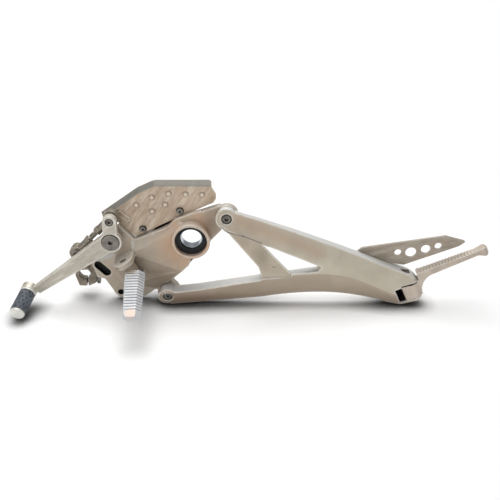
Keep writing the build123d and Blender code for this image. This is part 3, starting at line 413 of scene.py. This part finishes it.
def bright_alloy(name, face, dark, wear_and_highlight, knuckle_shade=None, tip=None, strokes=(), groove=1.8, polish=0.28):
    """Cleaner tumbled alloy of the footrests, with painted shade in its grooves."""
    made = Finish(name, 0.34, 0.2)
    cloud = made.ramp(made.noise(48, 4, 0.6), 0.35, 0.65)
    fine = made.noise(1300, 2, 0.6)
    colour = made.over(face, cloud, 0.35, dark)
    # painted shade on the peg's neck by the fork, in the casting's brown grey
    if knuckle_shade:
        colour = made.mix(made.near(RIDER_KNUCKLE, 16.5 * MM, 18.5 * MM), colour, knuckle_shade)
    if tip:
        colour = made.over(colour, made.blot(tip, (9, 11, 9), 0, 0.3), 0.85, WARM_TIP)
    # painted shade in grooves
    colour = made.over(colour, made.crevice(groove * MM), 0.8, dark)
    # edges paler from wear and painted highlight
    colour = made.over(colour, made.rims(1.2 * MM), 0.7, wear_and_highlight)
    colour = made.stroked(colour, strokes, HANGER_FACE)
    made.bump([(made.noise(500, 3, 0.6), 0.06, 0.4 * MM), (fine, 0.15, 0.2 * MM)])
    return made.done(colour, made.ramp(cloud, 0, 1, polish, polish + 0.14))


def dull_steel(name, face, dark, metallic=0.75, roughness=0.4, heads=()):
    """Plated or plain steel: small hardware, dulled, with painted shade in its corners and round its screw
    heads, and edges paler from wear and painted highlight.
    """
    made = Finish(name, roughness, metallic)
    cloud = made.ramp(made.noise(120, 4, 0.6), 0.35, 0.65)
    fine = made.noise(2200, 2, 0.6)
    colour = made.over(face, cloud, 0.7, dark)
    # painted shade in corners
    colour = made.over(colour, made.crevice(3 * MM), 0.92, STEEL_CORNER_SHADE)
    # edges paler from wear and painted highlight
    colour = made.over(colour, made.rims(0.8 * MM), 0.6, STEEL_RUB_AND_HIGHLIGHT)
    # painted shade: a dark ring round each screw head
    for x, z, radius in heads:
        colour = made.over(colour, made.ring(x, z, 0.80 * radius, 1.04 * radius), 0.8, dark)
    made.bump([(fine, 0.15, 0.15 * MM)])
    return made.done(colour, made.ramp(cloud, 0, 1, roughness - 0.08, roughness + 0.1))


def moulded_rubber(name, face, dust, dusting=0.5):
    """Moulded rubber, greyed with dust and rubbed paler on its edges."""
    made = Finish(name, 0.62, 0.0, 0.4)
    cloud = made.ramp(made.noise(90, 4, 0.65), 0.42, 0.72)
    fine = made.noise(1800, 2, 0.6)
    colour = made.over(face, cloud, dusting, dust)
    colour = made.over(colour, made.rims(1.2 * MM), dusting, dust)
    # painted shade in dimples and corners
    colour = made.over(colour, made.crevice(1.6 * MM), 0.85, RUBBER_CORNER_SHADE)
    made.bump([(fine, 0.3, 0.2 * MM)])
    return made.done(colour, made.ramp(cloud, 0, 1, 0.5, 0.7))


FINISHES = {
    "carrier_casting": blasted_casting(
        "blasted_carrier_alloy", face=tint(186, 173, 155), dark=tint(152, 138, 122), wear_and_highlight=tint(228, 223, 213),
        stain=tint(198, 150, 112), stain_place=PIVOT, stain_reach=(0.026, 0.058), under=tint(108, 90, 74),
        painted_top_share=0.22, shades=PLATE_SHADES, marks=(), strokes=PAINTED_FACET_HIGHLIGHT, front=PLATE_FACE,
        hollows=PLATE_HOLLOWS),
    "hanger_casting": blasted_casting(
        "blasted_hanger_alloy", face=tint(198, 189, 170), dark=tint(168, 157, 140), wear_and_highlight=tint(232, 229, 221),
        stain=tint(158, 128, 106), stain_place=(0.0, -0.03, -0.085), stain_reach=(0.06, 0.16),
        under=tint(172, 155, 137), painted_top_share=0.65, shades=HANGER_SHADES, marks=STRUT_MARKS,
        strokes=UPPER_ARM_WARMTH + STRUT_STEP + FORK_GAP, front=HANGER_FACE, hollows=HANGER_HOLLOWS),
    "guard_alloy": sheet_alloy(
        "satin_guard_alloy", tint(198, 176, 152), tint(150, 128, 106), tint(224, 213, 197), -55,
        mottle=0.7, flange_shade=tint(124, 125, 120), pressed=True),
    "rear_guard_alloy": sheet_alloy(
        "satin_rear_guard_alloy", tint(168, 154, 138), tint(128, 118, 104), tint(196, 188, 176), -10),
    "lever_alloy": sheet_alloy(
        "worn_lever_alloy", tint(190, 183, 169), tint(150, 141, 126), tint(230, 227, 219), -32, rim=3.0),
    "toe_alloy": bright_alloy("toe_end_alloy", tint(240, 239, 234), tint(160, 153, 140), tint(232, 230, 222)),
    "peg_alloy": bright_alloy(
        "bright_peg_alloy", tint(198, 199, 200), tint(150, 155, 164), tint(222, 223, 225),
        knuckle_shade=tint(150, 136, 118), tip=RIDER_TIP, polish=0.42),
    "rear_peg_alloy": bright_alloy(
        "rear_peg_alloy", tint(206, 193, 178), tint(128, 113, 97), tint(238, 232, 222),
        strokes=FORK_GAP, groove=3.4),
    "bush_rubber": moulded_rubber("bush_rubber", tint(15, 15, 17), tint(40, 42, 47), 0.25),
    "toe_rubber": moulded_rubber("toe_rubber", tint(66, 71, 79), tint(122, 129, 136)),
    "sleeve_steel": dull_steel("sleeve_steel", tint(188, 194, 202), tint(140, 146, 154), 0.85, 0.25),
    "fastener_steel": dull_steel("dark_zinc", tint(132, 128, 121), tint(52, 48, 45), heads=SCREW_HEADS),
    "disc_steel": dull_steel("worn_disc_steel", tint(134, 130, 123), tint(96, 91, 84), 0.75, 0.36),
    "rod_end_steel": dull_steel("dull_zinc", tint(168, 160, 146), tint(116, 107, 95)),
    "rod_steel": dull_steel("dull_rod_steel", tint(150, 143, 130), tint(100, 94, 84)),
    "arm_steel": dull_steel("forged_arm_steel", tint(158, 148, 132), tint(110, 100, 87), 0.55, 0.5),
    "pin_steel": dull_steel("turned_pin_steel", tint(132, 122, 110), tint(84, 76, 68)),
    "ball_steel": dull_steel("polished_ball_steel", tint(190, 190, 192), tint(140, 140, 144), 1.0, 0.2),
    "bush_brass": dull_steel("bearing_bronze", tint(176, 142, 84), tint(120, 92, 52), 0.9, 0.4),
}
SLOT_OF = {row["node"]: row["material_slot"] for row in frame["record"]["subparts"]}
BODY_OF = {node: body for body, nodes in frame["record"]["behaviour"]["bodies"].items() for node in nodes}


def kept_piece(name, mesh, body, slot, replaced):
    """Puts a finished mesh in the scene for the node that it replaces, riding on its body."""
    piece = bpy.data.objects.new(name, mesh)
    bpy.context.scene.collection.objects.link(piece)
    mesh.materials.append(FINISHES[slot])
    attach(piece, body)
    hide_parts(replaced)
    return piece


def even_normals(piece, sharp_degrees):
    """Smooth shading that leaves large flat faces flat."""
    piece.data.shade_smooth()
    piece.data.set_sharp_from_angle(angle=math.radians(sharp_degrees))
    weighted = piece.modifiers.new("even_normals", "WEIGHTED_NORMAL")
    weighted.keep_sharp = True
    weighted.weight = 80


# Every piece is its own solid with its edges rounded: node, name of the finished piece, rim in mm
ROUNDED = [
    ("carrier_plate", "carrier_casting", 0.9),
    ("passenger_hanger", "hanger_casting", 0),
    ("heel_guard", "rider_heel_guard", 0.4),
    ("passenger_heel_guard", "rear_heel_guard", 0.5),
    ("gear_lever", "gear_lever_forging", 0.9),
    ("shaft_arm", "shaft_arm_forging", 0.5),
    ("rider_peg", "rider_footrest", 0.35),
    ("passenger_peg", "passenger_footrest", 0.35),
    ("toe_peg", "toe_peg_end", 0.4),
    ("hanger_bolts", "hanger_bolt_heads", 0.35),
    ("hanger_nuts", "hanger_flange_nuts", 0.35),
    ("heel_guard_screws", "guard_button_screws", 0.3),
    ("passenger_guard_screws", "rear_guard_button_screws", 0.3),
    ("lever_pivot_bolt", "lever_disc_bolt", 0.4),
    ("upper_link_bolt", "upper_link_screw", 0.3),
    ("lower_link_bolt", "lower_link_screw", 0.3),
    ("upper_link_nut", "upper_link_hexagon", 0.3),
    ("lower_link_nut", "lower_link_hexagon", 0.3),
    ("rod_lock_nuts", "rod_hexagons", 0.35),
    ("upper_rod_end", "upper_rod_eye", 0.6),
    ("lower_rod_end", "lower_rod_eye", 0.6),
    ("pinch_bolt", "clamp_screw", 0.3),
    ("pivot_bush", "pivot_bush_ring", 0.6),
    ("pivot_sleeve", "pivot_sleeve_tube", 0.4),
    ("rider_peg_pin", "rider_fork_pin", 0.4),
    ("passenger_peg_pin", "passenger_fork_pin", 0.4),
]
# Rims up to this size, and those of these pieces, stop short where two of them would meet
SMALL_RIM = 0.41
CLAMPED = ["upper_rod_end", "lower_rod_end", "pivot_bush"]
# Pieces with curved or slightly turned faces, which are merged only where they are truly flat
CURVED = ["passenger_hanger", "passenger_peg", "carrier_plate"]
FLAT_DEGREES, CURVED_DEGREES = 0.6, 0.03
EDGE_DEGREES = 24
RIM_STEPS = 2
MERGE = 0.002 * MM


def rounded(node, name, rim):
    """A node's own solid with whole flat faces and rounded edges."""
    solid = bmesh.new()
    solid.from_mesh(frame["nodes"][node].data)
    bmesh.ops.remove_doubles(solid, verts=solid.verts, dist=MERGE)
    flat = CURVED_DEGREES if node in CURVED else FLAT_DEGREES
    bmesh.ops.dissolve_limit(solid, angle_limit=math.radians(flat), verts=solid.verts, edges=solid.edges)
    if rim:
        corners = [edge for edge in solid.edges if edge.calc_face_angle(0) > math.radians(EDGE_DEGREES)]
        bmesh.ops.bevel(
            solid, geom=corners, offset=rim * MM, offset_type="OFFSET", segments=RIM_STEPS, profile=0.5,
            affect="EDGES", clamp_overlap=rim < SMALL_RIM or node in CLAMPED, material=-1)
    mesh = bpy.data.meshes.new(name)
    solid.to_mesh(mesh)
    solid.free()
    even_normals(kept_piece(name, mesh, BODY_OF[node], SLOT_OF[node], node), 50 if rim else 22)


for node, name, rim in ROUNDED:
    rounded(node, name, rim)


def lathed(node, name, start, end, profile, around, shape=None):
    """Turned piece on an axis: profile rows are (distance, radius) in mm, shape changes single points."""
    axis = (end - start).normalized()
    side = axis.orthogonal().normalized()
    other = axis.cross(side)
    turned = bmesh.new()
    line = [turned.verts.new(start + (axis * distance + side * radius) * MM) for distance, radius in profile]
    runs = [turned.edges.new(pair) for pair in zip(line, line[1:])]
    bmesh.ops.spin(
        turned, geom=line + runs, cent=start, axis=axis, angle=math.tau, steps=around, use_merge=True)
    bmesh.ops.holes_fill(turned, edges=[edge for edge in turned.edges if edge.is_boundary])
    for vert in turned.verts if shape else []:
        off = vert.co - start
        distance = off.dot(axis)
        out = off - axis * distance
        angle = math.atan2(out.dot(other), out.dot(side)) % math.tau
        reach = shape(distance / MM, angle, out.length / MM)
        vert.co = start + axis * distance + out.normalized() * reach * MM
    bmesh.ops.recalc_face_normals(turned, faces=turned.faces)
    mesh = bpy.data.meshes.new(name)
    turned.to_mesh(mesh)
    turned.free()
    even_normals(kept_piece(name, mesh, BODY_OF[node], SLOT_OF[node], node), 40)


# Threaded link rod, in rolled grooves at both ends and plain between them, in mm
ROD_LENGTH = (ROD_FOOT - ROD_TOP).length / MM
ROD_START, ROD_END = 17.0, ROD_LENGTH - 15.0
ROD_RADIUS, ROD_ROWS, ROD_AROUND = 3.6, 280, 32
THREAD_PITCH, THREAD_DEPTH = 1.25, 0.44
PLAIN_HALF, THREAD_FADE = 2.0, 1.5


def rod_radius(distance):
    """Grooves of the thread, fading out over the plain middle of the rod."""
    middle = abs(distance - (ROD_START + ROD_END) / 2)
    groove = THREAD_DEPTH / 2 * (1 + math.cos(math.tau * distance / THREAD_PITCH))
    return ROD_RADIUS - groove * min(1.0, max(0.0, (middle - PLAIN_HALF) / THREAD_FADE))


rod_rows = [ROD_START + (ROD_END - ROD_START) * row / ROD_ROWS for row in range(ROD_ROWS + 1)]
lathed("link_rod", "threaded_rod", ROD_TOP, ROD_FOOT, [(d, rod_radius(d)) for d in rod_rows], ROD_AROUND)

# Toe rubber with rows of small round dimples, in mm
RUBBER_RADIUS, RUBBER_HOLE, RUBBER_START = 10.4, 5.2, 7.25
RUBBER_END = (TOE_TIP - TOE_START).length / MM - 4.0
RUBBER_ROWS, RUBBER_AROUND = 96, 216
# Rounded end of the rubber: distance from the end and drop below the full radius
RUBBER_RIM = [(0.0, 0.9), (0.3, 0.3), (0.9, 0.0)]
DIMPLE_ROWS, DIMPLES_ROUND, DIMPLE_SIZE, DIMPLE_DEPTH, DIMPLE_MARGIN = 6, 10, 1.6, 1.0, 3


def dimpled(distance, angle, radius):
    """Radius of the rubber at a place, lowered inside a dimple."""
    pitch = (RUBBER_END - RUBBER_START - 2 * DIMPLE_MARGIN) / (DIMPLE_ROWS - 1)
    from_first = distance - RUBBER_START - DIMPLE_MARGIN
    row = round(from_first / pitch)
    if radius < RUBBER_RADIUS - 0.1 or not 0 <= row < DIMPLE_ROWS:
        return radius
    along = from_first - row * pitch
    turn = angle * DIMPLES_ROUND / math.tau + 0.5 * (row % 2)
    across = (turn - round(turn)) * math.tau / DIMPLES_ROUND * radius
    share = 1 - (along * along + across * across) / DIMPLE_SIZE ** 2
    return radius - DIMPLE_DEPTH * min(1.0, max(0.0, 2.5 * share))


rim_length = RUBBER_RIM[-1][0]
rubber_length = RUBBER_END - RUBBER_START
rubber_rows = [(RUBBER_START, RUBBER_HOLE)]
rubber_rows += [(RUBBER_START + inward, RUBBER_RADIUS - drop) for inward, drop in RUBBER_RIM]
rubber_rows += [(RUBBER_START + rim_length + (rubber_length - 2 * rim_length) * row / RUBBER_ROWS, RUBBER_RADIUS)
                for row in range(1, RUBBER_ROWS)]
rubber_rows += [(RUBBER_END - inward, RUBBER_RADIUS - drop) for inward, drop in reversed(RUBBER_RIM)]
rubber_rows += [(RUBBER_END, RUBBER_HOLE)]
lathed("toe_rubber", "toe_rubber_sleeve", TOE_START, TOE_TIP, rubber_rows, RUBBER_AROUND, dimpled)

# Hidden or plain round pieces keep the part's own mesh
KEPT = [
    "lever_bush", "lever_pivot_washer", "toe_peg_screw", "upper_ball", "lower_ball", "rider_peg_spring",
    "rider_peg_clip", "passenger_peg_clip",
]
for node in KEPT:
    cad_piece = frame["nodes"][node]
    cad_piece.data.materials.clear()
    cad_piece.data.materials.append(FINISHES[SLOT_OF[node]])

# Floor: a wide sheet of paper just under the object
FLOOR_HALF = 8.0
FLOOR_LEVEL = cad_box[0].z - 0.0002
# open paper, and the painted contact shadow with its reach and range
OPEN_PAPER, PAINTED_CONTACT_SHADOW = (0.93, 0.93, 0.93, 1), (0.06, 0.06, 0.06, 1)
CLOSE_REACH, CLOSE_RANGE = 0.028, (0.44, 0.97)
FADE_CENTRE, FADE_START, FADE_END = (0.05, -0.08, FLOOR_LEVEL), 0.38, 0.72


def shader_between(tree, share, first, second):
    """Shader between two others, by a share."""
    made = tree.nodes.new("ShaderNodeMixShader")
    for source, socket in zip((share, first, second), made.inputs):
        tree.links.new(source, socket)
    return made.outputs["Shader"]


def studio_floor():
    """Pale floor that keeps the object's shadow, with a painted contact shadow close under the object, and can
    be seen through from below.
    """
    sheet = bmesh.new()
    bmesh.ops.create_grid(sheet, x_segments=1, y_segments=1, size=FLOOR_HALF)
    bmesh.ops.translate(sheet, verts=sheet.verts, vec=(0, 0, FLOOR_LEVEL))
    mesh = bpy.data.meshes.new("studio_floor")
    sheet.to_mesh(mesh)
    sheet.free()
    floor = bpy.data.objects.new("studio_floor", mesh)
    bpy.context.scene.collection.objects.link(floor)

    # painted contact shadow: the paper is darker where the object stands close over it
    paper = Finish("white_paper", 0.9, 0.0, 0.1)
    close = paper.node("ShaderNodeAmbientOcclusion", samples=8)
    close.inputs["Distance"].default_value = CLOSE_REACH
    openness = paper.ramp(close.outputs["AO"], *CLOSE_RANGE)
    paper.link(paper.mix(openness, PAINTED_CONTACT_SHADOW, OPEN_PAPER), paper.shader.inputs["Base Color"])

    # past the object's shadow it runs out into plain white
    reach = paper.node("ShaderNodeVectorMath", operation="DISTANCE")
    reach.inputs[1].default_value = FADE_CENTRE
    paper.link(paper.place, reach.inputs[0])
    fade = paper.node("ShaderNodeMapRange", interpolation_type="SMOOTHSTEP")
    fade.inputs["From Min"].default_value = FADE_START
    fade.inputs["From Max"].default_value = FADE_END
    paper.link(reach.outputs["Value"], fade.inputs["Value"])
    path = paper.node("ShaderNodeLightPath")
    white = paper.node("ShaderNodeEmission")
    share = paper.math("MULTIPLY", fade.outputs["Result"], path.outputs["Is Camera Ray"])
    upper = shader_between(paper.tree, share, paper.shader.outputs["BSDF"], white.outputs["Emission"])
    behind = paper.node("ShaderNodeNewGeometry").outputs["Backfacing"]
    clear = paper.node("ShaderNodeBsdfTransparent").outputs["BSDF"]
    paper.link(
        shader_between(paper.tree, behind, upper, clear), paper.tree.nodes["Material Output"].inputs["Surface"])
    mesh.materials.append(paper.material)


def studio_light(name, place, aim, size, power):
    """Square soft light aimed at a point."""
    lamp = bpy.data.lights.new(name, "AREA")
    lamp.shape = "SQUARE"
    lamp.size = size
    lamp.energy = power
    holder = bpy.data.objects.new(name, lamp)
    bpy.context.scene.collection.objects.link(holder)
    holder.location = place
    holder.rotation_euler = (Vector(aim) - Vector(place)).to_track_quat("-Z", "Y").to_euler()


def studio_world(strength):
    """White to the camera, soft grey as a source of light."""
    world = bpy.data.worlds.new("studio_world")
    bpy.context.scene.world = world
    world.use_nodes = True
    tree = world.node_tree
    soft = tree.nodes["Background"]
    white = tree.nodes.new("ShaderNodeBackground")
    for light, level in ((soft, strength), (white, 1.0)):
        light.inputs["Color"].default_value = (1, 1, 1, 1)
        light.inputs["Strength"].default_value = level
    seen = tree.nodes.new("ShaderNodeLightPath").outputs["Is Camera Ray"]
    choice = shader_between(tree, seen, soft.outputs["Background"], white.outputs["Background"])
    tree.links.new(choice, tree.nodes["World Output"].inputs["Surface"])


def photo_camera(place, tilt, lens):
    """Camera at the photograph's place, looking down by a tilt from straight ahead."""
    view = bpy.data.cameras.new("photo_camera")
    view.lens = lens
    view.sensor_width = 36.0
    view.clip_start = 0.05
    view.clip_end = 60.0
    camera = bpy.data.objects.new("photo_camera", view)
    camera.location = place
    camera.rotation_euler = (math.radians(90 - tilt), 0, 0)
    bpy.context.scene.collection.objects.link(camera)
    bpy.context.scene.camera = camera


studio_floor()
studio_world(0.34)
studio_light("top_light", (-0.12, 0.40, 1.5), (0.05, -0.02, 0.0), 1.4, 27)
studio_light("front_light", (-0.6, -1.5, 0.9), (0.05, 0.0, -0.02), 1.4, 9)
photo_camera((0.0767, -0.8996, 0.4736), 29, 55.38)
bpy.context.scene.view_settings.view_transform = "Standard"

bpy.context.view_layer.update()
